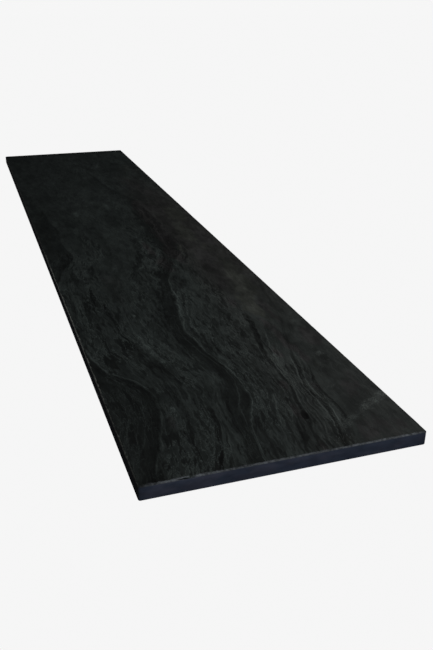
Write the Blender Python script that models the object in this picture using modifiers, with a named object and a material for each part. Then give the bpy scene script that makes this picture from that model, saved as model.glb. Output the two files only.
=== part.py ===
"""Granite slab for leatherwork: one plank of dark stone with eased edges, lying on its sawn underside.

Blender 4.5, metres, +Z up. The underside is centred on the origin, and the length runs along Y.
Run it with blender --background --python part.py, or from Blender's text editor.
"""

from math import radians

import bmesh
import bpy
from mathutils import Vector

# Driving dimensions: a long, narrow plank cut from a slab of the common 20 mm stock.
LENGTH = 1.800
WIDTH = 0.370
THICKNESS = 0.020

# Radii of the eased edges, so a hand, a strap or a hide slides over them.
CORNER_ARRIS = 0.0030
TOP_ARRIS = 0.0020
UNDERSIDE_ARRIS = 0.0015
ARRIS_SEGMENTS = 4

# Dark grey-green stone with a low sheen, in linear colour.
STONE_COLOUR = (0.034, 0.038, 0.037, 1.0)
STONE_ROUGHNESS = 0.5

SMOOTH_BELOW = radians(40)


def clear_scene():
    """Remove every object that the open file starts with."""
    for existing in list(bpy.data.objects):
        bpy.data.objects.remove(existing, do_unlink=True)


def stone_material():
    """Plain honed granite."""
    material = bpy.data.materials.new("granite")
    material.use_nodes = True
    shader = material.node_tree.nodes["Principled BSDF"]
    shader.inputs["Base Color"].default_value = STONE_COLOUR
    shader.inputs["Roughness"].default_value = STONE_ROUGHNESS
    shader.inputs["Metallic"].default_value = 0.0
    material.diffuse_color = STONE_COLOUR
    return material


def arris_radius(edge):
    """The radius that an edge of the plain block is eased to, from where the edge lies."""
    heights = [vert.co.z for vert in edge.verts]
    if min(heights) != max(heights):
        return CORNER_ARRIS
    return TOP_ARRIS if heights[0] > THICKNESS / 2 else UNDERSIDE_ARRIS


def stone_block():
    """The sawn block with its underside on Z = 0, and each edge marked with the ease it gets."""
    block = bmesh.new()
    bmesh.ops.create_cube(block, size=1.0)
    bmesh.ops.scale(block, vec=(WIDTH, LENGTH, THICKNESS), verts=block.verts)
    bmesh.ops.translate(block, vec=Vector((0, 0, THICKNESS / 2)), verts=block.verts)
    ease = block.edges.layers.float.new("bevel_weight_edge")
    for edge in block.edges:
        edge[ease] = arris_radius(edge) / CORNER_ARRIS
    mesh = bpy.data.meshes.new("stone_slab")
    block.to_mesh(mesh)
    block.free()
    return mesh


def stone_slab(collection, material):
    """The whole slab: one solid piece of stone with its edges eased."""
    mesh = stone_block()
    mesh.materials.append(material)
    mesh.shade_smooth()
    mesh.set_sharp_from_angle(angle=SMOOTH_BELOW)
    slab = bpy.data.objects.new("stone_slab", mesh)
    collection.objects.link(slab)
    eased = slab.modifiers.new("eased edges", "BEVEL")
    eased.limit_method = "WEIGHT"
    eased.offset_type = "OFFSET"
    eased.width = CORNER_ARRIS
    eased.segments = ARRIS_SEGMENTS
    eased.harden_normals = True
    return slab


def build():
    clear_scene()
    collection = bpy.data.collections.new("granite slab")
    bpy.context.scene.collection.children.link(collection)
    stone_slab(collection, stone_material())


build()
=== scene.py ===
"""The looks of the granite slab: a dark veined plank of stone, lit softly on a pale floor.

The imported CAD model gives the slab's place and size. The detailed stone takes the CAD block's place: its
work face is leathered, so it dips a little where the layers of the stone are soft, its sawn edges are eased
and chipped, and its colour follows the folded layers that run along the plank.

Along means the distance from the front end, and across the distance from the left edge. A layer's name is
about its distance from the left edge at the front end. All are in metres.
"""

import random
from math import cos, pi, radians, sin

import bpy
import numpy as np
from mathutils import Euler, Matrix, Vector, noise


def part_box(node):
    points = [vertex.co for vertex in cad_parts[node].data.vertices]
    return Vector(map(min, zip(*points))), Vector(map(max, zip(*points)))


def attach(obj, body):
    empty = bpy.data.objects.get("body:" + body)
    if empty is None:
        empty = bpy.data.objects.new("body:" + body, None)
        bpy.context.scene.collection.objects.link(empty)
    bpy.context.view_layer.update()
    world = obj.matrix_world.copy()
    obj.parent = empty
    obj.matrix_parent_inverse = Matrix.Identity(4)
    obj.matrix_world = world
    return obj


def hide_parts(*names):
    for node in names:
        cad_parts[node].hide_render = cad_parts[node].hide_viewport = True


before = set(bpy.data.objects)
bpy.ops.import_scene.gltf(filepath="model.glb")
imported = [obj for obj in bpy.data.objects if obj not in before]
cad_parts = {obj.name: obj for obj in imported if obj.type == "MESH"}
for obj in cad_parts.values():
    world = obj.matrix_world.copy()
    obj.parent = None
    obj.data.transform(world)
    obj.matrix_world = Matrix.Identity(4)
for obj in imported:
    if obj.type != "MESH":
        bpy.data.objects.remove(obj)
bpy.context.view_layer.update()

# The slab, from the frame.
LOW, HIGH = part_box("stone_slab")
WIDTH, LENGTH, THICKNESS = HIGH - LOW
HALF_WIDTH, HALF_LENGTH = WIDTH / 2, LENGTH / 2

# The mesh. Cells are narrow across the layers and long along them, and finer towards the edges.
CORNER_ARRIS = 0.0030
ARRIS = 0.0020
UNDER_ARRIS = 0.0015
CELL_ACROSS = 0.0026
CELL_ALONG = 0.0041
EDGE_CELLS = (CORNER_ARRIS - ARRIS, 0.0018, 0.0034)
CORNER_STEPS = 6
ARRIS_STEPS = 6
UNDER_ARRIS_STEPS = 3
WALL_STEPS = (0.0012, 0.0032)

# The folded layers. Each line follows one named layer from the front end to the back, as (along, across).
# The layers between two lines are spread evenly between them.
LAYER_LINES = {
    -0.06: [(0.0, -0.06), (0.2, -0.03), (0.36, -0.08), (0.7, -0.07), (1.0, -0.03), (1.3, -0.07)],
    0.038: [(0.0, 0.018), (0.03, 0.026), (0.055, 0.035), (0.08, 0.045), (0.12, 0.057), (0.16, 0.063),
        (0.19, 0.0635), (0.215, 0.057), (0.24, 0.047), (0.27, 0.02), (0.33, 0.004), (0.45, -0.008),
        (0.62, -0.004), (0.7, 0.018), (0.78, 0.054), (0.87, 0.044), (0.96, 0.05), (1.03, 0.04),
        (1.12, 0.037), (1.22, 0.026), (1.36, 0.002), (1.8, -0.01)],
    0.094: [(0.0, 0.0965), (0.043, 0.1115), (0.08, 0.124), (0.1, 0.1285), (0.14, 0.13), (0.2, 0.132),
        (0.26, 0.107), (0.33, 0.077), (0.39, 0.069), (0.44, 0.066), (0.5, 0.058), (0.66, 0.07),
        (0.78, 0.096), (0.96, 0.106), (1.2, 0.096), (1.8, 0.112)],
    0.122: [(0.0, 0.124), (0.08, 0.138), (0.14, 0.147), (0.17, 0.154), (0.2, 0.165), (0.26, 0.149),
        (0.33, 0.125), (0.43, 0.118), (0.55, 0.123), (0.64, 0.139), (0.73, 0.172), (0.82, 0.199),
        (0.92, 0.198), (1.08, 0.192), (1.3, 0.18), (1.52, 0.176), (1.66, 0.212), (1.8, 0.226)],
    0.131: [(0.0, 0.136), (0.045, 0.141), (0.075, 0.1465), (0.11, 0.15), (0.143, 0.154), (0.17, 0.162),
        (0.2, 0.173), (0.24, 0.171), (0.305, 0.15), (0.34, 0.144), (0.4, 0.1465), (0.46, 0.153),
        (0.52, 0.168), (0.6, 0.188), (0.68, 0.212), (0.76, 0.23), (0.84, 0.224), (0.92, 0.238),
        (1.0, 0.233), (1.08, 0.246), (1.16, 0.25), (1.3, 0.226), (1.52, 0.203), (1.62, 0.24),
        (1.68, 0.25), (1.8, 0.262)],
    0.152: [(0.0, 0.152), (0.045, 0.16), (0.075, 0.164), (0.103, 0.1745), (0.14, 0.1865),
        (0.174, 0.192), (0.22, 0.19), (0.28, 0.176), (0.31, 0.169), (0.375, 0.1685), (0.435, 0.172),
        (0.515, 0.188), (0.6, 0.2), (0.68, 0.236), (0.76, 0.272), (0.84, 0.286), (0.92, 0.281),
        (1.0, 0.282), (1.08, 0.276), (1.16, 0.277), (1.3, 0.238), (1.52, 0.208), (1.62, 0.245),
        (1.68, 0.255), (1.8, 0.268)],
    0.218: [(0.0, 0.2215), (0.03, 0.228), (0.053, 0.2337), (0.08, 0.2405), (0.117, 0.2473),
        (0.147, 0.252), (0.176, 0.255), (0.203, 0.256), (0.243, 0.2535), (0.305, 0.264), (0.367, 0.276),
        (0.42, 0.285), (0.52, 0.306), (0.7, 0.336), (1.0, 0.352), (1.3, 0.322), (1.6, 0.318),
        (1.8, 0.336)],
    0.25: [(0.0, 0.2545), (0.023, 0.261), (0.045, 0.268), (0.078, 0.274), (0.104, 0.2755),
        (0.13, 0.272), (0.148, 0.2715), (0.176, 0.278), (0.213, 0.2875), (0.26, 0.2985), (0.32, 0.311),
        (0.387, 0.3366), (0.436, 0.3425), (0.6, 0.368), (1.0, 0.396), (1.8, 0.39)],
    0.43: [(0.0, 0.43), (0.3, 0.445), (0.8, 0.47), (1.8, 0.48)],
}
FOLLOWING = 0.55
LINE_STEP = 0.005
LINE_SOFTNESS = 5

# How light each layer is, from the left edge to the right: (layer, tone), where 1 is the plain stone.
LAYER_TONES = [
    (-0.06, 0.54), (0.0, 0.54), (0.024, 0.46), (0.029, 0.3), (0.037, 0.25), (0.039, 1.08), (0.05, 1.0),
    (0.07, 1.05), (0.085, 0.92), (0.11, 1.1), (0.1295, 1.0), (0.132, 0.34), (0.143, 0.26), (0.1505, 0.28),
    (0.1525, 1.15), (0.16, 0.92), (0.178, 1.1), (0.2, 0.9), (0.216, 1.0), (0.2205, 1.2), (0.229, 1.24),
    (0.235, 0.92), (0.249, 1.1), (0.2502, 0.46), (0.2535, 0.5), (0.2555, 1.16), (0.264, 1.0),
    (0.2685, 0.7), (0.272, 1.0), (0.4, 1.06), (0.48, 1.06),
]

# Single veins: (start along, start layer, end along, end layer, half width, tone).
VEINS = [
    (0.03, -0.008, 0.19, 0.0, 0.001, 1.8), (0.17, -0.002, 0.28, 0.026, 0.0011, 1.8),
    (0.0, 0.006, 0.17, 0.012, 0.0009, 1.6), (0.05, 0.018, 0.22, 0.022, 0.001, 1.6),
    (0.09, 0.028, 0.25, 0.03, 0.0008, 1.6), (0.05, 0.0408, 0.42, 0.0408, 0.0014, 1.85),
    (-0.05, 0.095, 0.16, 0.095, 0.0044, 0.26), (0.31, 0.094, 0.54, 0.094, 0.0024, 0.3),
    (0.25, 0.098, 0.37, 0.105, 0.0011, 1.8), (0.34, 0.104, 0.46, 0.108, 0.001, 1.6),
    (0.27, 0.117, 0.46, 0.117, 0.002, 1.75), (0.02, 0.11, 0.2, 0.114, 0.0014, 1.5),
    (-0.05, 0.1526, 0.09, 0.1514, 0.0012, 2.6), (0.055, 0.1516, 0.14, 0.1405, 0.001, 2.7),
    (0.11, 0.1405, 0.21, 0.1472, 0.001, 2.7), (0.18, 0.147, 0.46, 0.1435, 0.001, 2.4),
    (0.02, 0.137, 0.12, 0.134, 0.0007, 1.9), (0.0, 0.154, 0.62, 0.154, 0.0011, 1.9),
    (0.26, 0.161, 0.5, 0.161, 0.001, 1.75), (0.21, 0.17, 0.35, 0.168, 0.002, 0.32),
    (0.17, 0.182, 0.27, 0.182, 0.0022, 0.42), (0.0, 0.205, 0.09, 0.205, 0.0024, 0.4),
    (0.02, 0.186, 0.18, 0.19, 0.0009, 1.7), (0.0, 0.198, 0.12, 0.196, 0.001, 1.6),
    (0.055, 0.2182, 0.43, 0.2182, 0.0036, 0.26), (0.03, 0.2225, 0.26, 0.2225, 0.0012, 1.7),
    (0.0, 0.236, 0.3, 0.236, 0.0014, 1.55), (0.1, 0.229, 0.36, 0.229, 0.001, 1.6),
    (0.06, 0.24, 0.25, 0.237, 0.0036, 0.68), (-0.05, 0.2512, 0.26, 0.2512, 0.0026, 0.5),
    (0.02, 0.248, 0.26, 0.248, 0.001, 1.7), (0.02, 0.2575, 0.24, 0.2575, 0.0012, 1.75),
    (0.04, 0.2695, 0.22, 0.2695, 0.0028, 0.45), (0.3, 0.2515, 0.46, 0.2515, 0.0012, 1.45),
    (0.58, 0.131, 0.8, 0.131, 0.0012, 1.7), (0.74, 0.143, 1.12, 0.143, 0.001, 1.9),
    (0.6, 0.1225, 0.88, 0.1225, 0.0024, 0.45), (0.62, 0.125, 0.9, 0.125, 0.0006, 1.45),
    (0.58, 0.1275, 0.88, 0.1275, 0.0007, 1.4), (0.66, 0.129, 1.0, 0.129, 0.0005, 0.7),
    (0.56, 0.13, 0.96, 0.13, 0.0005, 1.45), (1.54, 0.166, 1.78, 0.166, 0.0014, 1.6),
]
VEIN_FADE = 0.035

# Soft patches: (along, across, half length, half width, tone).
PATCHES = [
    (0.14, 0.082, 0.035, 0.008, 1.35), (0.082, 0.083, 0.018, 0.005, 0.6), (0.224, 0.16, 0.03, 0.007, 1.3),
    (0.276, 0.188, 0.026, 0.005, 1.3), (0.32, 0.093, 0.03, 0.005, 1.45), (0.36, 0.224, 0.018, 0.01, 1.22),
    (0.336, 0.223, 0.01, 0.005, 0.7), (0.06, 0.196, 0.028, 0.005, 0.65), (0.03, 0.22, 0.03, 0.005, 0.7),
    (0.192, 0.316, 0.026, 0.006, 0.66), (0.236, 0.336, 0.034, 0.017, 0.74),
    (0.024, 0.258, 0.018, 0.01, 0.6), (0.54, 0.05, 0.045, 0.014, 0.66), (0.56, 0.024, 0.04, 0.009, 1.3),
    (0.44, 0.304, 0.05, 0.012, 1.34), (0.54, 0.291, 0.034, 0.013, 0.66),
    (0.584, 0.35, 0.014, 0.012, 1.25), (0.55, 0.322, 0.07, 0.011, 1.34), (0.36, 0.334, 0.03, 0.007, 0.66),
    (0.43, 0.345, 0.05, 0.007, 0.74), (0.346, 0.06, 0.016, 0.005, 0.6), (0.39, 0.322, 0.07, 0.006, 0.8),
    (0.3, 0.292, 0.05, 0.006, 0.84), (0.47, 0.358, 0.04, 0.008, 1.14), (0.4, 0.3365, 0.04, 0.0022, 1.4),
    (0.34, 0.314, 0.04, 0.0022, 1.35), (0.33, 0.35, 0.03, 0.008, 1.16), (0.29, 0.312, 0.03, 0.006, 0.74),
    (0.225, 0.301, 0.02, 0.005, 1.25), (0.1, 0.318, 0.03, 0.012, 0.86), (0.13, 0.306, 0.024, 0.005, 0.82),
    (0.17, 0.34, 0.03, 0.014, 1.1), (0.046, 0.3, 0.016, 0.012, 0.86), (0.64, 0.053, 0.022, 0.013, 0.62),
    (0.642, 0.1, 0.03, 0.007, 1.4), (0.712, 0.07, 0.024, 0.009, 0.72), (0.72, 0.13, 0.026, 0.006, 1.2),
    (0.792, 0.056, 0.026, 0.016, 0.74), (0.836, 0.088, 0.02, 0.007, 1.22),
    (0.95, 0.088, 0.03, 0.006, 1.28), (0.966, 0.124, 0.01, 0.008, 0.6), (0.88, 0.132, 0.06, 0.008, 0.76),
    (1.0, 0.076, 0.028, 0.008, 0.74), (1.02, 0.048, 0.024, 0.006, 1.5), (1.08, 0.108, 0.022, 0.006, 1.9),
    (0.928, 0.202, 0.026, 0.007, 0.76), (0.934, 0.232, 0.011, 0.011, 1.3),
    (1.01, 0.174, 0.06, 0.01, 0.82), (1.09, 0.188, 0.016, 0.01, 0.66), (1.11, 0.191, 0.05, 0.005, 1.35),
    (1.15, 0.222, 0.04, 0.01, 1.15), (0.85, 0.318, 0.11, 0.02, 1.3), (1.03, 0.31, 0.04, 0.02, 1.14),
    (1.076, 0.34, 0.02, 0.008, 1.3), (0.74, 0.3, 0.05, 0.01, 1.2), (0.64, 0.292, 0.024, 0.012, 0.74),
    (0.7, 0.336, 0.06, 0.01, 0.84), (1.376, 0.06, 0.014, 0.008, 1.3), (1.46, 0.078, 0.04, 0.007, 1.22),
    (1.45, 0.112, 0.024, 0.006, 1.22), (1.44, 0.232, 0.04, 0.008, 1.25), (1.58, 0.254, 0.026, 0.005, 1.3),
    (1.4, 0.312, 0.016, 0.01, 1.3), (1.504, 0.35, 0.05, 0.01, 0.74), (1.6, 0.12, 0.06, 0.016, 0.86),
    (1.22, 0.18, 0.016, 0.012, 0.8), (1.24, 0.246, 0.04, 0.012, 0.82), (1.78, 0.18, 0.016, 0.24, 0.78),
    (0.81, 0.052, 0.034, 0.01, 1.55), (0.95, 0.02, 0.12, 0.018, 0.74), (1.047, 0.25, 0.03, 0.009, 0.55),
    (1.208, 0.168, 0.012, 0.008, 0.66), (1.177, 0.16, 0.012, 0.008, 1.35),
    (1.13, 0.188, 0.014, 0.006, 1.4), (0.9, 0.143, 0.016, 0.006, 1.3), (0.302, 0.047, 0.018, 0.008, 1.3),
]

# Pale knots of mineral: (along, across, half length, half width).
KNOTS = [
    (0.146, 0.081, 0.01, 0.0055), (0.371, 0.091, 0.014, 0.004), (0.322, 0.096, 0.022, 0.006),
    (0.284, 0.105, 0.014, 0.005), (0.238, 0.338, 0.008, 0.009), (0.048, 0.284, 0.007, 0.005),
    (0.078, 0.326, 0.012, 0.01), (0.09, 0.346, 0.012, 0.009), (0.101, 0.362, 0.012, 0.01),
    (0.458, 0.102, 0.012, 0.003), (0.344, 0.094, 0.006, 0.006),
]

# Stains: (along, across, half length, half width, hue), where 1 is lilac and -1 is olive.
STAINS = [
    (0.26, 0.277, 0.02, 0.008, 0.9), (0.163, 0.247, 0.014, 0.006, 0.9), (0.151, 0.286, 0.018, 0.006, 1.0),
    (0.24, 0.309, 0.04, 0.006, 0.9), (0.33, 0.303, 0.06, 0.008, 0.9), (0.43, 0.326, 0.07, 0.007, 0.8),
    (0.29, 0.35, 0.03, 0.016, 0.9), (0.03, 0.32, 0.03, 0.03, 0.7), (0.13, 0.335, 0.02, 0.012, 0.6),
    (0.008, 0.232, 0.014, 0.006, 0.9), (0.096, 0.235, 0.02, 0.006, 0.9), (0.1, 0.02, 0.018, 0.012, 0.5),
    (0.12, 0.07, 0.02, 0.008, 0.5), (0.44, 0.304, 0.06, 0.016, -1.0), (0.6, 0.332, 0.09, 0.018, -1.0),
    (0.53, 0.318, 0.06, 0.014, -0.8), (0.545, 0.29, 0.04, 0.014, 0.5), (0.47, 0.281, 0.03, 0.008, 0.7),
    (0.65, 0.309, 0.03, 0.014, 0.5), (0.75, 0.252, 0.06, 0.016, 0.9), (0.863, 0.264, 0.07, 0.018, 1.0),
    (0.994, 0.266, 0.08, 0.018, 1.0), (1.1, 0.27, 0.06, 0.018, 0.9), (0.68, 0.222, 0.05, 0.014, 0.7),
    (1.022, 0.334, 0.06, 0.024, -1.0), (0.88, 0.316, 0.08, 0.018, -1.0), (0.781, 0.272, 0.03, 0.01, -1.0),
    (1.083, 0.302, 0.04, 0.016, 0.8), (0.83, 0.346, 0.05, 0.016, 0.8), (0.715, 0.306, 0.05, 0.016, 0.9),
    (0.76, 0.334, 0.03, 0.014, -0.6), (0.669, 0.344, 0.04, 0.014, -0.5), (0.78, 0.21, 0.04, 0.008, 0.6),
    (1.2, 0.33, 0.08, 0.024, 0.6), (1.35, 0.31, 0.1, 0.03, 0.5), (1.5, 0.33, 0.1, 0.03, -0.4),
    (0.6, 0.1, 0.1, 0.02, 0.3),
]

# Layers that wear lower than the rest, from one layer to another, and how deep the relief is.
SOFT_LAYERS = [(-0.06, 0.036), (0.133, 0.150), (0.2165, 0.2200), (0.2500, 0.2540)]
SOFT_LAYER_DEPTH = 0.00022
RELIEF = 0.00032

# The pit in the work face, and the light vein that crosses the layers at the front right corner.
PIT_ALONG, PIT_ACROSS = 0.083, 0.2405
PIT_HALF_LENGTH, PIT_HALF_WIDTH = 0.0105, 0.0048
PIT_SLANT = 0.10
PIT_DEPTH = 0.0010
CROSS_VEIN = [
    (0.043, 0.274), (0.052, 0.285), (0.062, 0.303), (0.078, 0.324), (0.087, 0.342), (0.104, 0.372),
]

# The bruised stretch of the front edge, across from its left end.
BRUISE_START, BRUISE_END = 0.014, 0.090

# The scales of the textures, in lumps to the metre: across and along the layers, or across, along and down.
LUMPS, DASHES, STREAKS = (85, 14), (180, 25), (360, 58)
SWELL, CRINKLE = (18, 13, 18), (80, 36, 80)
CLOUDS, BLOTS, GRAIN = (30, 11, 30), (78, 34, 78), (560, 430, 560)
GATHERING, TEARING, MOOD = (34, 9, 34), (85, 85, 85), (34, 14, 34)
MOTTLE, EDGE_CLOUDS, CRUMBS = (48, 48, 130), (26, 26, 60), (230, 230, 230)
WANDER, POWDER = (90, 90, 90), (240, 240, 240)

# How many times finer the first three are made where the layers have spread, to look the same there.
SPREAD_FINER = 1.7

# How far the small folds shift the layers.
SWELL_SHIFT, CRINKLE_SHIFT = 0.012, 0.0070

# How much light the stone gives back: plain work face, what a pale thread adds, the honed edges, the worn
# arrises and what a chip adds to them, and the underside. The pit is painted in shade, giving back a tenth
# of what's round it.
TOP_ALBEDO = 0.040
THREAD_ALBEDO = 0.080
EDGE_ALBEDO = 0.050
ARRIS_ALBEDO = 0.050, 0.125
CHIP_ALBEDO = 0.05
UNDERSIDE_ALBEDO = 0.050, 0.075
PIT_SHADE = 0.10

# The finish: how rough each surface is, how much it shines, and the fine relief of all of them.
LEATHERED_ROUGHNESS = 0.50, 0.62
HONED_ROUGHNESS, WORN_ROUGHNESS, SAWN_ROUGHNESS = 0.45, 0.72, 0.85
SHEEN = 0.12
FINE_RELIEF, FINE_RELIEF_STRENGTH = 0.0006, 0.6

# How far in from the edge the worn arris reaches, and how much further at the bruise and less on the sides.
WORN_REACH = 0.0011, 0.0029
BRUISE_REACH = 0.6
SIDE_REACH = 0.75

# The tints. The work face is green to the left and greyer to the right, and plain grey there further back.
GREEN = (0.89, 1.08, 1.01, 1)
GREY_GREEN = (0.96, 1.06, 0.99, 1)
PLAIN_GREY = (1.015, 1.03, 0.965, 1)
LILAC = (1.02, 1.01, 0.99, 1)
OLIVE = (1.02, 1.085, 0.94, 1)
# The two ends are tinted blue as a painted reflection of bluish light.
PAINTED_SKY_BLUES = (0.74, 0.90, 1.36, 1), (0.85, 0.91, 1.30, 1)
LONG_EDGE_GREY = (0.98, 0.99, 1.00, 1)
LONG_ARRIS_TINT = (0.99, 1.03, 0.93, 1)
END_ARRIS_TINT = (0.94, 1.0, 1.07, 1)
UNDERSIDE_TINT = (0.97, 1.0, 1.01)

# How much paler the left edge's arris is painted than the others, as a painted highlight: at the front, and
# 0.45 m from it. The painted highlight fades to a quarter of that between 0.72 and 0.90 m.
LEFT_ARRIS_HIGHLIGHT = 1.6, 3.8
LEFT_ARRIS_HIGHLIGHT_BACK = 0.25

# How pale the two ends' arrises are at the left corners and from 50 mm on, how many times paler still they
# get to the right, and how much the bruise adds.
END_WEAR = 0.45, 1.25
END_WEAR_RIGHT = 1.20
BRUISE_PALER = 0.35

# How much paler the honed edges of the back half are on the left than on the right.
LEFT_EDGE_PALER = 0.7

# Chips along the upper edges. The front edge is bruised towards its left corner.
SEED = 41
FRONT_CHIPS, BRUISED_CHIPS, BACK_CHIPS, SIDE_CHIPS = 34, 16, 26, 60

# A chip on each kind of edge: the range of its half length, and the range of its bite.
END_CHIP = (0.003, 0.007), (0.0009, 0.0018)
BRUISE_CHIP = (0.004, 0.008), (0.0012, 0.0022)
SIDE_CHIP = (0.005, 0.012), (0.0007, 0.0014)
CHIPPED_BAND = 0.008

# The floor and the lights.
FLOOR_SIZE = 24.0
FLOOR_DROP = 0.0004
FLOOR_GLOW = 0.92
SKY_GLOW = FLOOR_GLOW + 0.002
ROOM_COLOUR = (0.022, 0.023, 0.026, 1)
OVERHEAD_PLACE, OVERHEAD_TARGET = (0.90, 0.10, 2.0), (0.05, 0.0, 0)
OVERHEAD_SIZE, OVERHEAD_POWER, OVERHEAD_COLOUR = (1.6, 2.6), 13.0, (1.0, 1.0, 0.99)
WINDOW_PLACE, WINDOW_TARGET = (0.50, -3.4, 0.40), (0.05, -0.9, 0)
WINDOW_SIZE, WINDOW_POWER, WINDOW_COLOUR = (2.2, 0.7), 27.0, (0.93, 0.97, 1.0)

# The camera.
CAMERA_PLACE = (-0.3269, -1.5698, 0.5269)
CAMERA_TURN = 19.08
CAMERA_TILT = 24.49
CAMERA_ROLL = 0.63
CAMERA_LENS = 41.62


# ---------------------------------------------------------------- the folded layers

def line_across(points, along):
    """How far across the slab a layer line lies at each distance along it, with its bends rounded."""
    stations = np.arange(-0.1, LENGTH + 0.1, LINE_STEP)
    bends = np.interp(stations, [point[0] for point in points], [point[1] for point in points])
    window = np.hanning(2 * LINE_SOFTNESS + 3)[1:-1]
    padded = np.pad(bends, LINE_SOFTNESS, mode="edge")
    rounded = np.convolve(padded, window / window.sum(), mode="valid")
    return np.interp(along, stations, rounded)


def layer_at(along, across):
    """The layer that each place on the work face belongs to, and how far the layers have spread there."""
    lines = [line_across(points, along) for points in LAYER_LINES.values()]
    names = list(LAYER_LINES)
    layer = np.full(len(along), names[0])
    spread = np.ones(len(along))
    for index in range(len(lines) - 1):
        gap = np.maximum(lines[index + 1] - lines[index], 0.002)
        share = np.clip((across - lines[index]) / gap, 0, 1)
        step = names[index + 1] - names[index]
        layer = np.where(share > 0, names[index] + share * step, layer)
        spread = np.where(share > 0, gap / step, spread)
    return layer, spread


def noise_field(first, second, first_scale, second_scale, seed):
    """Smooth noise from -1 to 1 at places given by two coordinates."""
    places = zip(first * first_scale, second * second_scale)
    return np.array([noise.noise(Vector((one, two, seed))) for one, two in places])


def smoothstep(low, high, value):
    share = np.clip((value - low) / (high - low), 0, 1)
    return share * share * (3 - 2 * share)


# ---------------------------------------------------------------- the shape of the stone

def grid_lines(length, cell):
    """Grid lines across one side of the flat part of the work face, closer together near its ends."""
    inner = length - 2 * EDGE_CELLS[-1]
    count = round(inner / cell)
    middle = [EDGE_CELLS[-1] + inner * step / count for step in range(count + 1)]
    start = [0.0, *EDGE_CELLS[:-1]]
    return start + middle + [length - place for place in reversed(start)]


def ring_places(columns, rows, radius):
    """One closed loop round the slab, that far outside the flat part of its top, counter-clockwise."""
    columns, rows = columns[1:-1], rows[1:-1]
    left, right = columns[0], columns[-1]
    front, back = rows[0], rows[-1]
    reach = CORNER_ARRIS - ARRIS + radius

    def corner(x, y, start):
        turns = [start + pi / 2 * step / CORNER_STEPS for step in range(1, CORNER_STEPS)]
        return [(x + reach * cos(turn), y + reach * sin(turn)) for turn in turns]

    return np.array(
        [(x, front - reach) for x in columns]
        + corner(right, front, -pi / 2)
        + [(right + reach, y) for y in rows]
        + corner(right, back, 0)
        + [(x, back + reach) for x in reversed(columns)]
        + corner(left, back, pi / 2)
        + [(left - reach, y) for y in reversed(rows)]
        + corner(left, front, pi)
    )


def ring_levels():
    """How far outside the flat part, and how high, each loop of the side lies, from the top down."""
    levels = []
    for step in range(1, ARRIS_STEPS + 1):
        turn = pi / 2 * step / ARRIS_STEPS
        levels.append((ARRIS * sin(turn), THICKNESS - ARRIS + ARRIS * cos(turn)))
    for drop in WALL_STEPS:
        levels.append((ARRIS, THICKNESS - ARRIS - drop))
    for step in range(UNDER_ARRIS_STEPS + 1):
        turn = pi / 2 * step / UNDER_ARRIS_STEPS
        levels.append((ARRIS - UNDER_ARRIS * (1 - cos(turn)), UNDER_ARRIS * (1 - sin(turn))))
    return levels


def stone_block():
    """The points and faces of the plain eased block, closed, in the row's frame."""
    columns = [LOW.x + ARRIS + place for place in grid_lines(WIDTH - 2 * ARRIS, CELL_ACROSS)]
    rows = [LOW.y + ARRIS + place for place in grid_lines(LENGTH - 2 * ARRIS, CELL_ALONG)]
    wide, deep = len(columns), len(rows)
    last = wide * deep - 1
    x, y = np.meshgrid(columns, rows)
    top = np.column_stack([x.ravel(), y.ravel(), np.full(x.size, THICKNESS)])
    for corner in (0, wide - 1, last - wide + 1, last):
        top[corner, :2] -= np.sign(top[corner, :2]) * (CORNER_ARRIS - ARRIS) * (1 - sin(pi / 4))
    blocks = [top]
    faces = []
    for row in range(deep - 1):
        for near in range(row * wide, row * wide + wide - 1):
            faces.append((near, near + 1, near + wide + 1, near + wide))

    # The rim of the flat part, in the order of the loops round the side. Each corner of the flat part is
    # repeated, once for each step of the arc that goes round it.
    front_rim, right_rim = range(wide), range(wide - 1, last + 1, wide)
    back_rim, left_rim = range(last, last - wide, -1), range(last - wide + 1, -1, -wide)
    above = []
    for side in (front_rim, right_rim, back_rim, left_rim):
        above += [*side][1:-1] + [side[-1]] * (CORNER_STEPS - 1)

    total = len(blocks[0])
    for radius, height in ring_levels():
        places = ring_places(columns, rows, radius)
        blocks.append(np.column_stack([places, np.full(len(places), height)]))
        below = list(range(total, total + len(places)))
        total += len(places)
        for index, corner in enumerate(above):
            after = (index + 1) % len(above)
            quad = (corner, below[index], below[after], above[after])
            faces.append(quad if corner != above[after] else quad[:3])
        above = below
    faces.append(tuple(reversed(above)))
    return np.concatenate(blocks), faces


def edge_distance(points):
    """How far inside the slab's outline each point lies, seen from above."""
    return np.minimum(HALF_WIDTH - abs(points[:, 0]), HALF_LENGTH - abs(points[:, 1]))


def pit_reach(along, across):
    """Distance from the middle of the pit in the work face, where 1 is its rim."""
    beside = across - PIT_ACROSS - PIT_SLANT * (along - PIT_ALONG)
    return np.hypot((along - PIT_ALONG) / PIT_HALF_LENGTH, beside / PIT_HALF_WIDTH)


def leathered_depth(points, along, across, layer):
    """How deep the leathered work face lies below its highest plane."""
    streaks = noise_field(layer, along, 110, 9, 1.7)
    grain = noise_field(layer, along, 330, 45, 5.2)
    swell = noise_field(across, along, 22, 14, 8.9)
    depth = RELIEF * (0.5 + 0.30 * streaks + 0.14 * grain + 0.22 * swell)
    for low, high in SOFT_LAYERS:
        inside = smoothstep(low - 0.003, low + 0.002, layer) * smoothstep(high + 0.003, high - 0.002, layer)
        depth += SOFT_LAYER_DEPTH * inside
    depth += PIT_DEPTH * np.exp(-(pit_reach(along, across) ** 2))
    return np.clip(depth, 0, None) * smoothstep(0.0, 0.006, edge_distance(points) - ARRIS)


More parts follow.
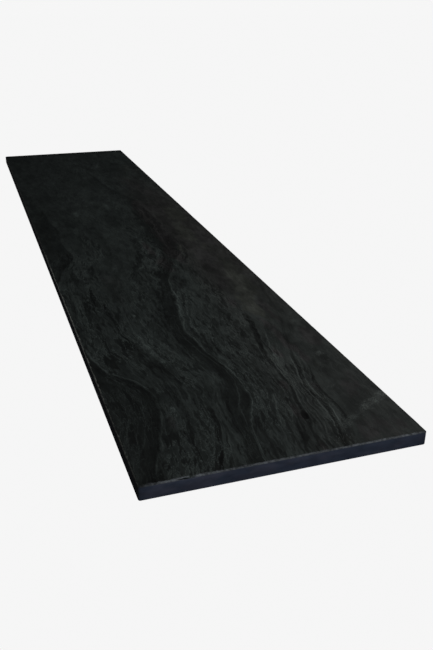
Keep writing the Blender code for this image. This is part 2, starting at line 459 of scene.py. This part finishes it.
def chip_list():
    """Chips knocked off the upper edges: (middle, axis of the edge, half length, bite)."""
    rng = random.Random(SEED)
    chips = []

    def knock(count, axis, start, end, fixed, halves, bites):
        for _ in range(count):
            middle = [fixed, fixed, THICKNESS]
            middle[axis] = rng.uniform(start, end)
            chips.append((middle, axis, rng.uniform(*halves), rng.uniform(*bites)))

    knock(FRONT_CHIPS, 0, -HALF_WIDTH, HALF_WIDTH, -HALF_LENGTH, *END_CHIP)
    bruise = (BRUISE_START - HALF_WIDTH, BRUISE_END - HALF_WIDTH)
    knock(BRUISED_CHIPS, 0, *bruise, -HALF_LENGTH, *BRUISE_CHIP)
    knock(BACK_CHIPS, 0, -HALF_WIDTH, HALF_WIDTH, HALF_LENGTH, *END_CHIP)
    for edge in (-HALF_WIDTH, HALF_WIDTH):
        knock(SIDE_CHIPS, 1, -HALF_LENGTH, HALF_LENGTH, edge, *SIDE_CHIP)
    return chips


def chip_edges(points):
    """Bite the chips out of the upper edges, and return how much each point was bitten, from 0 to 1."""
    bitten = np.zeros(len(points))
    band = np.flatnonzero((edge_distance(points) < CHIPPED_BAND) & (points[:, 2] > THICKNESS / 2))
    start = points[band].copy()
    for middle, axis, half, bite in chip_list():
        offset = start - np.array(middle)
        offset[:, axis] *= bite / half
        close = np.flatnonzero(np.abs(offset).max(axis=1) < 1.5 * bite)
        rough = np.array([1 + 0.35 * noise.noise(Vector(start[index]) * 420) for index in close])
        depth = np.clip(1 - np.linalg.norm(offset[close], axis=1) / bite * rough, 0, 1)
        inward = 0.55 * bite * depth
        points[band[close], 1 - axis] -= np.sign(middle[1 - axis]) * inward
        points[band[close], 2] -= inward
        bitten[band[close]] = np.maximum(bitten[band[close]], np.sqrt(depth))
    return bitten


def vein_distance(along, across):
    """Distance from the light vein that crosses the layers."""
    nearest = np.full(len(along), 1.0)
    for (a, b), (c, d) in zip(CROSS_VEIN, CROSS_VEIN[1:]):
        run, rise = c - a, d - b
        share = np.clip(((along - a) * run + (across - b) * rise) / (run * run + rise * rise), 0, 1)
        nearest = np.minimum(nearest, np.hypot(along - a - share * run, across - b - share * rise))
    return nearest


def painted_light_and_dims(along, across):
    """How the whole stone lightens from left to right, mostly near the front, as painted light, and dims
    towards the back.
    """
    near = smoothstep(1.10, 0.10, along)
    dim = 1 - 0.15 * smoothstep(0.75, 1.00, along) * smoothstep(0.12, 0.05, across)
    dim *= 1 - 0.12 * smoothstep(1.20, 1.50, along) * smoothstep(0.34, 0.26, across)
    dim *= 1 - 0.13 * smoothstep(0.44, 0.30, along) * smoothstep(0.24, 0.30, across)
    # Painted light: lighter to the right and darker by the left edge, near the front, fading towards the
    # back.
    painted_lean = 0.90 + near * (0.72 * smoothstep(0.12, 0.37, across) - 0.17 * smoothstep(0.12, 0.0, across))
    return painted_lean * dim


def warmth(along, across):
    """How far the green gives way to plain grey: along the right side, between 0.4 and 1.6 m."""
    return smoothstep(0.235, 0.300, across) * smoothstep(0.38, 0.60, along) * smoothstep(1.60, 1.00, along)


def patch_reach(along, across, patches):
    """For each patch, how far inside it each place lies: 0 outside its ragged outline, 1 well inside."""
    ragged = 0.55 * noise_field(along, across, 22, 60, 3.3)
    torn = 0.70 * noise_field(along, across, 50, 150, 6.1)
    for patch_along, patch_across, half_length, half_width, *strength in patches:
        beyond = (along - patch_along) / half_length + ragged
        beside = (across - patch_across) / half_width + torn
        yield smoothstep(1.45, 0.55, np.hypot(beyond, beside)), *strength


def patch_tone(along, across):
    """How the soft patches darken or lighten the stone."""
    tone = np.ones(len(along))
    for inside, lightness in patch_reach(along, across, PATCHES):
        tone *= 1 + (lightness - 1) * inside
    return tone


def stain_hue(along, across):
    """How lilac, or below zero how olive, the stains make the stone."""
    hue = np.zeros(len(along))
    for inside, strength in patch_reach(along, across, STAINS):
        hue += strength * inside * (1 - abs(hue))
    return hue


def knot_strength(along, across):
    """How strongly a pale knot shows at each place, from 0 to 1."""
    strength = np.zeros(len(along))
    for knot_along, knot_across, half_length, half_width in KNOTS:
        reach = np.hypot((along - knot_along) / half_length, (across - knot_across) / half_width)
        strength = np.maximum(strength, smoothstep(1.5, 0.2, reach))
    return strength


def calmness(along, across, layer):
    """How smooth the stone is: 0 where it is streaked and threaded, towards 1 where it is even."""
    lens = smoothstep(0.096, 0.102, layer) * smoothstep(0.122, 0.119, layer) * smoothstep(0.44, 0.60, along)
    right = smoothstep(0.258, 0.276, layer)
    middle_right = smoothstep(0.270, 0.292, across) * smoothstep(0.20, 0.30, along)
    left_dark = smoothstep(0.041, 0.034, layer)
    s_band = smoothstep(0.131, 0.134, layer) * smoothstep(0.153, 0.150, layer)
    back = smoothstep(0.55, 1.15, along)
    back_left = smoothstep(0.12, 0.06, across) * smoothstep(0.72, 0.86, along)
    return np.maximum.reduce([
        0.8 * lens, 0.85 * right, 0.8 * middle_right, 0.5 * left_dark, 0.6 * s_band, 0.7 * back,
        0.95 * back_left,
    ])


def surface_values(along, across, layer, spread, bitten):
    """The numbers that the stone's material reads, one for each point."""
    bruise = smoothstep(BRUISE_START - 0.008, BRUISE_START, across)
    bruise *= smoothstep(BRUISE_END, BRUISE_END - 0.03, across) * smoothstep(0.02, 0.0, along)
    calm = calmness(along, across, layer)
    return {
        "bitten": bitten,
        "pit": pit_reach(along, across),
        "vein": vein_distance(along, across) * 100,
        "stain": stain_hue(along, across),
        "knot": knot_strength(along, across),
        "bruise": bruise,
        "calm": calm,
        "faint": 0.5 * calm + 0.35 * smoothstep(1.06, 1.24, along),
        "painted_light_tone": painted_light_and_dims(along, across),
        "warm": warmth(along, across),
        "patch": patch_tone(along, across),
        "spread": smoothstep(1.4, 2.2, spread),
    }


def stone_slab():
    """The detailed stone, with what its material reads kept on its points."""
    points, faces = stone_block()
    along = points[:, 1] + HALF_LENGTH
    across = points[:, 0] + HALF_WIDTH
    layer, spread = layer_at(along, across)
    on_top = points[:, 2] == THICKNESS
    points[on_top, 2] -= leathered_depth(points[on_top], along[on_top], across[on_top], layer[on_top])
    bitten = chip_edges(points)

    mesh = bpy.data.meshes.new("granite_stone")
    mesh.from_pydata(points.tolist(), [], faces)
    layers = mesh.attributes.new("layers", "FLOAT_VECTOR", "POINT")
    layers.data.foreach_set("vector", np.column_stack([layer, along, points[:, 2]]).ravel())
    drawn = mesh.attributes.new("drawn", "FLOAT_VECTOR", "POINT")
    drawn_across = FOLLOWING * layer + (1 - FOLLOWING) * across
    drawn.data.foreach_set("vector", np.column_stack([drawn_across, along, points[:, 2]]).ravel())
    for name, value in surface_values(along, across, layer, spread, bitten).items():
        mesh.attributes.new(name, "FLOAT", "POINT").data.foreach_set("value", value)
    mesh.shade_smooth()
    stone = bpy.data.objects.new("granite_stone", mesh)
    bpy.context.scene.collection.objects.link(stone)
    return stone


# ---------------------------------------------------------------- the material

class Shader:
    """The node tree of one material, with a short call for each kind of node that the stone needs."""

    def __init__(self, name):
        self.material = bpy.data.materials.new(name)
        self.material.use_nodes = True
        self.tree = self.material.node_tree
        self.surface = self.tree.nodes["Principled BSDF"]

    def node(self, kind, inputs=(), **settings):
        made = self.tree.nodes.new("ShaderNode" + kind)
        for name, value in settings.items():
            setattr(made, name, value)
        for socket, value in dict(inputs).items():
            self.feed(made.inputs[socket], value)
        return made

    def feed(self, socket, value):
        if isinstance(value, bpy.types.NodeSocket):
            self.tree.links.new(value, socket)
        else:
            socket.default_value = value

    def sum(self, first, second):
        return self.node("Math", {0: first, 1: second}, operation="ADD").outputs[0]

    def times(self, first, second):
        return self.node("Math", {0: first, 1: second}, operation="MULTIPLY").outputs[0]

    def math(self, operation, first, second=0.0):
        return self.node("Math", {0: first, 1: second}, operation=operation).outputs[0]

    def step(self, value, low, high, start=0.0, end=1.0):
        """From start to end, smoothly, as value goes from low to high."""
        inputs = {"Value": value, "From Min": low, "From Max": high, "To Min": start, "To Max": end}
        return self.node("MapRange", inputs, interpolation_type="SMOOTHSTEP").outputs[0]

    def blend(self, share, first, second):
        """From the first number to the second, by share."""
        return self.node("Mix", {0: share, 2: first, 3: second}, data_type="FLOAT").outputs[0]

    def colour_blend(self, share, first, second):
        return self.node("Mix", {0: share, 6: first, 7: second}, data_type="RGBA").outputs[2]

    def attribute(self, name, kind="Fac"):
        return self.node("Attribute", attribute_name=name).outputs[kind]

    def scaled(self, vector, scale):
        return self.node("VectorMath", {0: vector, 1: scale}, operation="MULTIPLY").outputs[0]

    def noise(self, vector, detail=2.0, roughness=0.5, distortion=0.0):
        """Noise from about 0.2 to 0.8, one lump to each unit of vector."""
        inputs = {"Vector": vector, "Scale": 1.0, "Detail": detail, "Roughness": roughness}
        inputs["Distortion"] = distortion
        return self.node("TexNoise", inputs).outputs["Fac"]

    def parts(self, vector):
        """The three coordinates of a vector."""
        return self.node("SeparateXYZ", {0: vector}).outputs

    def ridge(self, value, width):
        """Thin lines where a noise crosses its middle."""
        off_middle = self.math("ABSOLUTE", self.math("SUBTRACT", value, 0.5))
        return self.step(off_middle, width, 0.0)


def layer_tone(shader, layer):
    """How light each layer is."""
    low, high = LAYER_TONES[0][0], LAYER_TONES[-1][0]
    place = shader.node("MapRange", {"Value": layer, "From Min": low, "From Max": high}).outputs[0]
    ramp = shader.node("ValToRGB", {"Fac": place})
    stops = ramp.color_ramp.elements
    while len(stops) < len(LAYER_TONES):
        stops.new(0.5)
    for stop, (at, tone) in zip(stops, LAYER_TONES):
        stop.position = (at - low) / (high - low)
        stop.color = (tone / 2, tone / 2, tone / 2, 1)
    return shader.times(ramp.outputs["Color"], 2.0)


def single_veins(shader, layer, along):
    """How the single veins darken or lighten the stone."""
    tone = 1.0
    for start, start_layer, end, end_layer, half_width, lightness in VEINS:
        middle = start_layer
        if end_layer != start_layer:
            course = {"From Min": start, "From Max": end, "To Min": start_layer, "To Max": end_layer}
            middle = shader.node("MapRange", {"Value": along, **course}).outputs[0]
        beside = shader.math("ABSOLUTE", shader.math("SUBTRACT", layer, middle))
        begun = shader.step(along, start, start + VEIN_FADE)
        share = shader.times(shader.step(beside, half_width, half_width * 0.4), begun)
        share = shader.times(share, shader.step(along, end, end - VEIN_FADE))
        tone = shader.blend(share, tone, lightness)
    return tone


def crumpled(shader, place):
    """The layer and the coordinates of the fine texture, both with the small folds of the stone added."""
    swell = shader.noise(shader.scaled(place, SWELL), detail=2.0)
    crinkle = shader.noise(shader.scaled(place, CRINKLE), detail=3.0, roughness=0.6)
    shift = shader.times(shader.math("SUBTRACT", swell, 0.5), SWELL_SHIFT)
    shift = shader.sum(shift, shader.times(shader.math("SUBTRACT", crinkle, 0.5), CRINKLE_SHIFT))
    layer = shader.parts(shader.attribute("layers", "Vector"))[0]
    across, along, height = shader.parts(shader.attribute("drawn", "Vector"))
    drawn = shader.node("CombineXYZ", {0: shader.sum(across, shift), 1: along, 2: height}).outputs[0]
    return shader.sum(layer, shift), along, drawn


def banded(shader, drawn, scales, detail, roughness):
    """Noise drawn out along the layers, and as fine where the layers have spread as where they haven't."""
    across_scale, along_scale = scales
    close, wide = [
        shader.noise(shader.scaled(drawn, (scale, along_scale, scale)), detail=detail, roughness=roughness)
        for scale in (across_scale, SPREAD_FINER * across_scale)
    ]
    return shader.blend(shader.attribute("spread"), close, wide)


def layered_tone(shader, place, layer, along, textures):
    """How light the work face is: the folded layers, then lumps, dashes and streaks that follow them."""
    lumps, dashes, streaks = textures
    calm = shader.attribute("calm")
    lively = shader.math("SUBTRACT", 1.0, calm)
    tone = shader.blend(shader.attribute("faint"), layer_tone(shader, layer), 1.0)
    tone = shader.times(tone, single_veins(shader, layer, along))
    # The painted light from left to right, and the soft patches.
    tone = shader.times(tone, shader.times(shader.attribute("painted_light_tone"), shader.attribute("patch")))
    clouds = shader.noise(shader.scaled(place, CLOUDS), detail=4.0, roughness=0.6, distortion=0.8)
    tone = shader.times(tone, shader.step(clouds, 0.34, 0.66, 1.20, 0.80))
    blots = shader.noise(shader.scaled(place, BLOTS), detail=3.0, roughness=0.5, distortion=0.6)
    tone = shader.times(tone, shader.blend(calm, 1.0, shader.step(blots, 0.40, 0.60, 1.20, 0.80)))
    tone = shader.times(tone, shader.blend(lively, 1.0, shader.step(lumps, 0.46, 0.54, 1.12, 0.80)))
    tone = shader.times(tone, shader.blend(lively, 1.0, shader.step(dashes, 0.44, 0.60, 1.24, 0.62)))
    return shader.times(tone, shader.blend(lively, 1.0, shader.step(streaks, 0.38, 0.62, 1.20, 0.80)))


def pale_marks(shader, place, drawn, lumps, dashes, grain):
    """How much pale mineral shows: threads and specks, the light vein across the layers, and the knots."""
    gathered = shader.step(shader.noise(shader.scaled(drawn, GATHERING), detail=2.0), 0.42, 0.58)
    fine_threads = shader.times(shader.ridge(dashes, 0.042), 0.8)
    threads = shader.math("MAXIMUM", shader.ridge(lumps, 0.030), fine_threads)
    broken = shader.step(grain, 0.40, 0.60, 0.2, 1.0)
    threads = shader.times(shader.times(threads, broken), shader.step(gathered, 0.0, 1.0, 0.30, 1.0))
    specks = shader.times(shader.step(grain, 0.63, 0.74), shader.step(gathered, 0.0, 1.0, 0.05, 0.5))
    pale = shader.times(shader.sum(threads, specks), shader.blend(shader.attribute("calm"), 1.0, 0.2))

    torn = shader.noise(shader.scaled(place, TEARING), detail=5.0, roughness=0.7)
    ragged = shader.times(shader.math("SUBTRACT", torn, 0.5), 4.0)
    vein = shader.step(shader.sum(shader.attribute("vein"), ragged), 0.75, -0.15)
    knot = shader.step(shader.sum(shader.attribute("knot"), shader.times(ragged, 0.85)), 0.30, 1.10)
    pale = shader.math("MAXIMUM", pale, shader.times(vein, shader.times(broken, 0.9)))
    return shader.math("MAXIMUM", pale, shader.times(knot, shader.times(broken, 1.5)))


def stone_tint(shader, place):
    """The hue: green to the left, nearly grey to the right, with lilac and olive stains."""
    # Greyer where the painted light makes the work face lighter.
    neutral = shader.step(shader.attribute("painted_light_tone"), 0.95, 1.50)
    tint = shader.colour_blend(neutral, GREEN, GREY_GREEN)
    tint = shader.colour_blend(shader.attribute("warm"), tint, PLAIN_GREY)
    mood = shader.noise(shader.scaled(place, MOOD), detail=3.0, roughness=0.6)
    drift = shader.times(shader.math("SUBTRACT", mood, 0.5), shader.step(neutral, 0.0, 1.0, 0.8, 3.2))
    stain = shader.sum(shader.attribute("stain"), drift)
    tint = shader.colour_blend(shader.step(stain, 0.15, 0.85), tint, LILAC)
    return shader.colour_blend(shader.step(stain, -0.20, -0.90), tint, OLIVE)


def leathered_top(shader, place):
    """The colour of the work face, a height for its fine relief, and the streaks in it."""
    layer, along, drawn = crumpled(shader, place)
    lumps = banded(shader, drawn, LUMPS, 4.0, 0.6)
    dashes = banded(shader, drawn, DASHES, 3.0, 0.5)
    streaks = banded(shader, drawn, STREAKS, 3.0, 0.65)
    grain = shader.noise(shader.scaled(place, GRAIN), detail=2.0)
    tone = layered_tone(shader, place, layer, along, (lumps, dashes, streaks))
    pale = pale_marks(shader, place, drawn, lumps, dashes, grain)
    light = shader.sum(shader.times(tone, TOP_ALBEDO), shader.times(pale, THREAD_ALBEDO))
    # Painted shade in the pit: a tenth of the light round it.
    pit = shader.step(shader.attribute("pit"), 0.75, 1.25)
    light = shader.times(light, shader.blend(pit, PIT_SHADE, 1.0))
    height = shader.sum(shader.times(streaks, 0.5), shader.times(grain, 0.25))
    return shader.scaled(stone_tint(shader, place), light), height, streaks


def honed_edge(shader, place, from_corner, on_end):
    """The colour of the four honed edges, and a height for their fine relief: a painted blue reflection on
    the two ends, painted light towards the top and painted shade towards the upright corners.
    """
    x, y, z = shader.parts(place)
    mottle = shader.noise(shader.scaled(place, MOTTLE), detail=4.0, roughness=0.6)
    cloud = shader.noise(shader.scaled(place, EDGE_CLOUDS), detail=3.0, roughness=0.6)
    light = shader.times(shader.step(mottle, 0.3, 0.7, 0.84, 1.16), EDGE_ALBEDO)
    light = shader.times(light, shader.step(cloud, 0.35, 0.65, 0.90, 1.10))
    # Painted light: the edges are lighter towards the top.
    light = shader.times(light, shader.step(z, 0.008, 0.018, 1.0, 1.18))
    # Painted shade: the edges are darker towards the upright corners.
    light = shader.times(light, shader.step(from_corner, 0.0, 0.014, 0.80, 1.0))
    back = shader.step(y, -0.2 * HALF_LENGTH, 0.1 * HALF_LENGTH)
    back_left = shader.times(back, shader.step(x, 0.0, -0.01))
    light = shader.times(light, shader.sum(shader.times(back_left, LEFT_EDGE_PALER), 1.0))
    # Painted blue reflection on the two ends.
    painted_blue = shader.colour_blend(shader.step(cloud, 0.40, 0.62), *PAINTED_SKY_BLUES)
    tint = shader.colour_blend(on_end, LONG_EDGE_GREY, painted_blue)
    return shader.scaled(tint, light), shader.times(mottle, 0.15)


def worn_arris(shader, place, from_corner, on_end):
    """The colour of the worn, chipped upper edges, where the stone shows paler and rougher; the left one
    has a painted highlight.
    """
    x, y, _ = shader.parts(place)
    crumb = shader.noise(shader.scaled(place, CRUMBS), detail=4.0, roughness=0.65)
    light = shader.step(crumb, 0.35, 0.65, *ARRIS_ALBEDO)
    light = shader.sum(light, shader.times(shader.attribute("bitten"), CHIP_ALBEDO))
    # A painted highlight along the left arris, on top of its wear.
    left = shader.step(x, -0.90 * HALF_WIDTH, -0.98 * HALF_WIDTH)
    left_highlight = shader.step(y, -HALF_LENGTH, -0.5 * HALF_LENGTH, *LEFT_ARRIS_HIGHLIGHT)
    left_highlight = shader.times(left_highlight, shader.step(y, -0.2 * HALF_LENGTH, 0.0, 1.0, LEFT_ARRIS_HIGHLIGHT_BACK))
    light = shader.times(light, shader.blend(left, 1.0, left_highlight))
    light = shader.times(light, shader.step(from_corner, 0.002, 0.016, 0.45, 1.0))
    light = shader.times(light, shader.sum(shader.times(shader.attribute("bruise"), BRUISE_PALER), 1.0))

    # The two ends' arrises are dim by the left corner and palest to the right.
    end = shader.step(x, 0.004 - HALF_WIDTH, 0.050 - HALF_WIDTH, *END_WEAR)
    end = shader.times(end, shader.step(x, 0.30 * HALF_WIDTH, 0.75 * HALF_WIDTH, 1.0, END_WEAR_RIGHT))
    light = shader.times(light, shader.blend(on_end, 1.0, end))
    tint = shader.colour_blend(on_end, LONG_ARRIS_TINT, END_ARRIS_TINT)
    return shader.scaled(tint, light), crumb


def sawn_underside(shader, place):
    """The colour of the underside, flat grey with the faint slanting marks of the saw, and its relief."""
    saw = shader.node("TexWave", {
        "Vector": shader.scaled(place, (1, 1, 0)), "Scale": 9.0, "Distortion": 1.6, "Detail": 2.0,
        "Detail Scale": 0.6,
    }, wave_type="BANDS", bands_direction="DIAGONAL").outputs["Fac"]
    powder = shader.noise(shader.scaled(place, POWDER), detail=4.0, roughness=0.7)
    light = shader.step(powder, 0.3, 0.7, *UNDERSIDE_ALBEDO)
    light = shader.times(light, shader.step(saw, 0.0, 1.0, 0.94, 1.06))
    return shader.scaled(UNDERSIDE_TINT, light), shader.sum(shader.times(saw, 0.3), powder)


def granite():
    """Dark veined granite: leathered on top, honed and eased at the edges, sawn below."""
    shader = Shader("granite")
    place = shader.node("TexCoord").outputs["Object"]
    x, y, z = shader.parts(place)
    from_side = shader.math("SUBTRACT", HALF_WIDTH, shader.math("ABSOLUTE", x))
    from_end = shader.math("SUBTRACT", HALF_LENGTH, shader.math("ABSOLUTE", y))
    from_edge = shader.math("MINIMUM", from_side, from_end)
    from_corner = shader.math("MAXIMUM", from_side, from_end)

    top, top_height, streaks = leathered_top(shader, place)
    on_end = shader.step(shader.math("SUBTRACT", from_side, from_end), -0.0005, 0.0005)
    edge, edge_height = honed_edge(shader, place, from_corner, on_end)
    arris, arris_height = worn_arris(shader, place, from_corner, on_end)
    under, under_height = sawn_underside(shader, place)

    wander = shader.noise(shader.scaled(place, WANDER), detail=4.0, roughness=0.7)
    worn_to = shader.step(wander, 0.35, 0.70, *WORN_REACH)
    worn_to = shader.times(worn_to, shader.sum(shader.times(shader.attribute("bruise"), BRUISE_REACH), 1.0))
    worn_to = shader.times(worn_to, shader.step(on_end, 0.0, 1.0, SIDE_REACH, 1.0))
    worn = shader.step(shader.math("DIVIDE", from_edge, worn_to), 1.25, 0.75)
    worn = shader.times(worn, shader.step(z, THICKNESS - 1.2 * ARRIS, THICKNESS - 0.6 * ARRIS))
    on_top = shader.step(from_edge, ARRIS * 0.35, ARRIS * 0.9)
    below = shader.step(z, UNDER_ARRIS * 0.7, UNDER_ARRIS * 0.2)

    colour = shader.colour_blend(on_top, edge, top)
    colour = shader.colour_blend(worn, colour, arris)
    colour = shader.colour_blend(below, colour, under)
    shader.feed(shader.surface.inputs["Base Color"], colour)

    rough = shader.blend(on_top, HONED_ROUGHNESS, shader.step(streaks, 0.3, 0.7, *LEATHERED_ROUGHNESS))
    rough = shader.blend(below, shader.blend(worn, rough, WORN_ROUGHNESS), SAWN_ROUGHNESS)
    shader.feed(shader.surface.inputs["Roughness"], rough)

    height = shader.blend(on_top, edge_height, top_height)
    height = shader.blend(below, shader.blend(worn, height, arris_height), under_height)
    relief = {"Height": height, "Distance": FINE_RELIEF, "Strength": FINE_RELIEF_STRENGTH}
    bump = shader.node("Bump", relief)
    shader.feed(shader.surface.inputs["Normal"], bump.outputs[0])
    shader.surface.inputs["Specular IOR Level"].default_value = SHEEN
    return shader.material


# ---------------------------------------------------------------- the studio

def pale_floor():
    """A plain pale floor that only glows: it shows no shadow, and its glow doesn't light the stone."""
    bpy.ops.mesh.primitive_plane_add(size=FLOOR_SIZE, location=(0, 0, LOW.z - FLOOR_DROP))
    floor = bpy.context.object
    floor.name = "floor"
    shader = Shader("pale floor")
    shader.surface.inputs["Base Color"].default_value = (0, 0, 0, 1)
    shader.surface.inputs["Specular IOR Level"].default_value = 0.0
    shader.surface.inputs["Emission Color"].default_value = (1, 1, 1, 1)
    shader.surface.inputs["Emission Strength"].default_value = FLOOR_GLOW
    floor.data.materials.append(shader.material)
    floor.visible_diffuse = False
    floor.visible_glossy = False


def softbox(name, place, target, size, power, colour):
    """A soft rectangular light that the camera doesn't see."""
    lamp = bpy.data.lights.new(name, "AREA")
    lamp.shape = "RECTANGLE"
    lamp.size, lamp.size_y = size
    lamp.energy = power
    lamp.color = colour
    light = bpy.data.objects.new(name, lamp)
    light.location = place
    light.rotation_euler = (Vector(target) - Vector(place)).to_track_quat("-Z", "Y").to_euler()
    light.visible_camera = False
    bpy.context.scene.collection.objects.link(light)


def studio_world():
    """Pale where the camera sees it, and a dim room for everything else."""
    world = bpy.data.worlds.new("studio")
    world.use_nodes = True
    tree = world.node_tree
    room = tree.nodes["Background"]
    room.inputs["Color"].default_value = ROOM_COLOUR
    pale = tree.nodes.new("ShaderNodeBackground")
    pale.inputs["Color"].default_value = (SKY_GLOW, SKY_GLOW, SKY_GLOW, 1)
    seen = tree.nodes.new("ShaderNodeLightPath").outputs["Is Camera Ray"]
    mix = tree.nodes.new("ShaderNodeMixShader")
    tree.links.new(seen, mix.inputs[0])
    tree.links.new(room.outputs[0], mix.inputs[1])
    tree.links.new(pale.outputs[0], mix.inputs[2])
    tree.links.new(mix.outputs[0], tree.nodes["World Output"].inputs["Surface"])
    bpy.context.scene.world = world


def camera():
    lens = bpy.data.cameras.new("camera")
    lens.lens = CAMERA_LENS
    seat = bpy.data.objects.new("camera", lens)
    bpy.context.scene.collection.objects.link(seat)
    aim = Euler((radians(90 - CAMERA_TILT), 0, radians(-CAMERA_TURN))).to_quaternion()
    roll = Euler((0, 0, radians(CAMERA_ROLL))).to_quaternion()
    seat.location = CAMERA_PLACE
    seat.rotation_euler = (aim @ roll).to_euler()
    bpy.context.scene.camera = seat


stone = stone_slab()
stone.data.materials.append(granite())
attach(stone, "root")
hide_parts("stone_slab")

pale_floor()
softbox("overhead", OVERHEAD_PLACE, OVERHEAD_TARGET, OVERHEAD_SIZE, OVERHEAD_POWER, OVERHEAD_COLOUR)
softbox("front window", WINDOW_PLACE, WINDOW_TARGET, WINDOW_SIZE, WINDOW_POWER, WINDOW_COLOUR)
studio_world()
camera()
bpy.context.scene.view_settings.view_transform = "Standard"
